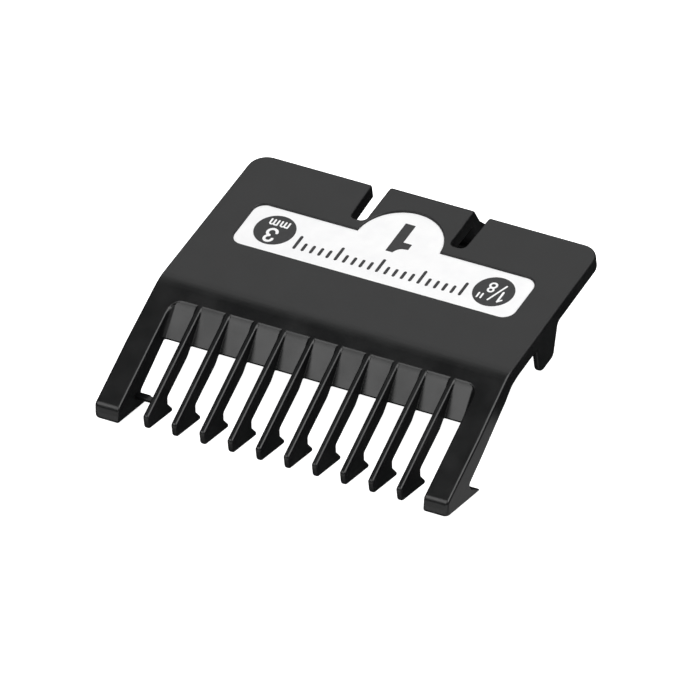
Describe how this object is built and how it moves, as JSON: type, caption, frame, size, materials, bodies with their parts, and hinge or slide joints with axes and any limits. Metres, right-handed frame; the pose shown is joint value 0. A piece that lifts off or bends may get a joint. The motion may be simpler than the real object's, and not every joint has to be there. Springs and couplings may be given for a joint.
{
  "type": "clipper guard comb",
  "caption": "Clip-on guard comb for a hair clipper: flat plate with a springy latch tongue, slotted sloping teeth between two side arms, heel hooks and an inlaid size badge.",
  "frame": {"origin": "middle of the bounding box in plan, at the height of the lowest point, the barbs of the two side arms", "axes": "+Z out of the labelled outer face of the plate, +Y towards the latch tongue, -Y towards the tooth tips, X across the comb"},
  "size_m": [0.0512, 0.0482, 0.0111],
  "materials": {
    "comb_plastic": "satin black moulding",
    "badge_film": "smooth white print film",
    "badge_ink": "dark grey print"
  },
  "bodies": {
    "comb": {"top_plate": "comb_plastic", "tooth_rail": "comb_plastic", "left_side_arm": "comb_plastic", "right_side_arm": "comb_plastic", "tooth_01": "comb_plastic", "tooth_02": "comb_plastic", "tooth_03": "comb_plastic", "tooth_04": "comb_plastic", "tooth_05": "comb_plastic", "tooth_06": "comb_plastic", "tooth_07": "comb_plastic", "tooth_08": "comb_plastic", "tooth_09": "comb_plastic", "tooth_10": "comb_plastic", "foot_bridge": "comb_plastic", "left_heel_hook": "comb_plastic", "right_heel_hook": "comb_plastic", "badge_band": "badge_film", "numeral_stem": "badge_ink", "metric_disc": "badge_ink", "inch_disc": "badge_ink", "scale_ticks": "badge_ink"},
    "latch": {"latch_tongue": "comb_plastic", "latch_catch": "comb_plastic", "badge_crown": "badge_film", "numeral_foot": "badge_ink"}
  },
  "joints": [
    {"name": "latch_flex", "type": "hinge", "parent": "comb", "child": "latch", "pos_m": [0, 0.01438, 0.01009], "axis": [1, 0, 0], "range_deg": [-3, 10], "stiffness_Nm_per_rad": 0.4}
  ]
}
